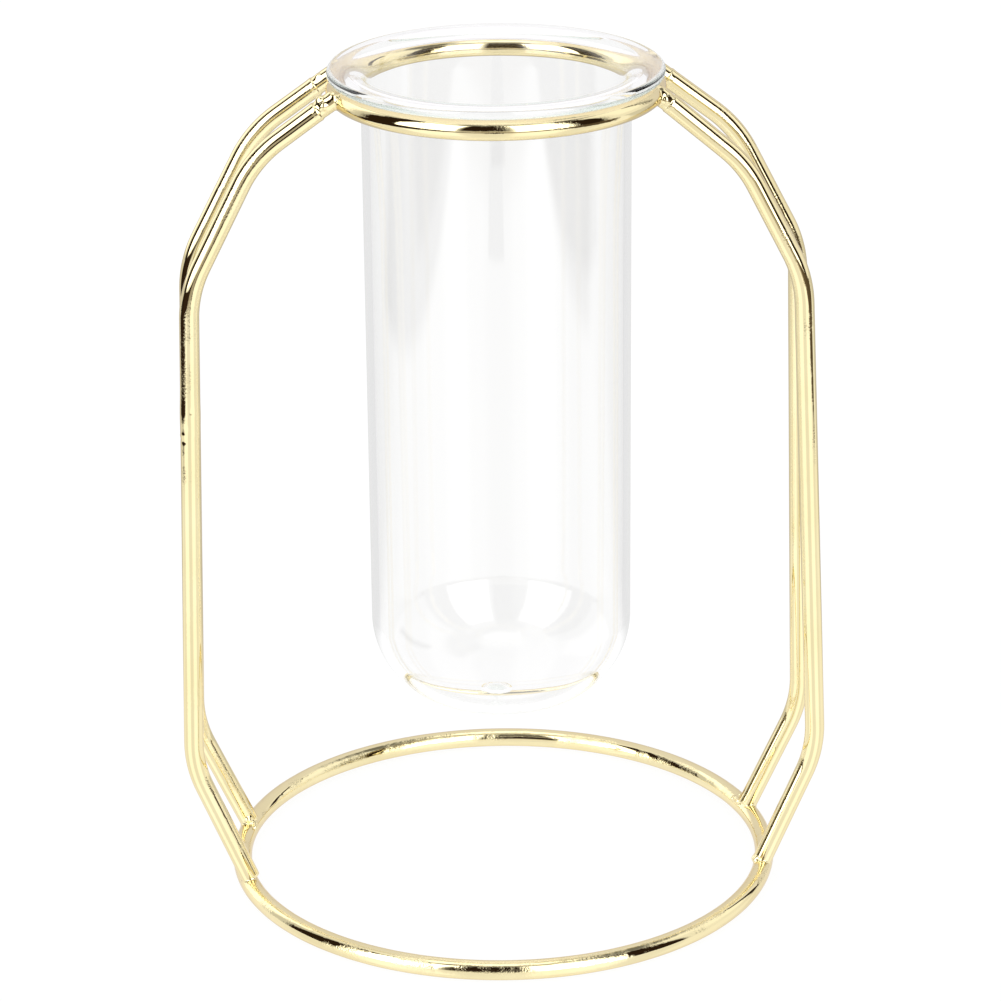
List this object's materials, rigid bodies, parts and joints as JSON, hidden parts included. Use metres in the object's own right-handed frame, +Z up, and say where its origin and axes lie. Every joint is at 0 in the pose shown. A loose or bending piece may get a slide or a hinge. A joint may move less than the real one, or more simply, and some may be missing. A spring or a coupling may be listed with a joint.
{
  "type": "hydroponic vase",
  "caption": "Clear glass test-tube vase with a flared lip, hung in a gold-plated wire stand of a floor ring, bent legs and a top ring.",
  "frame": {"origin": "on the floor, under the common centre of the floor ring, the top ring and the tube", "axes": "+Z up along the tube towards its mouth, X from the left pair of legs to the right pair, the front faces -Y"},
  "size_m": [0.149, 0.1284, 0.1939],
  "materials": {
    "gold_wire": "polished steel wire with a bright pale gold plating",
    "gold_weld": "uneven weld metal under the same pale gold plating",
    "clear_glass": "clear flame-worked glass, smooth"
  },
  "bodies": {
    "stand": {"base_ring": "gold_wire", "top_ring": "gold_wire", "leg_front_left": "gold_wire", "leg_back_left": "gold_wire", "leg_front_right": "gold_wire", "leg_back_right": "gold_wire", "base_welds": "gold_weld", "top_welds": "gold_weld"},
    "tube": {"glass_tube": "clear_glass"}
  },
  "joints": [
    {"name": "tube_lift", "type": "slide", "parent": "stand", "child": "tube", "axis": [0, 0, 1], "range_m": [0, 0.17]}
  ]
}
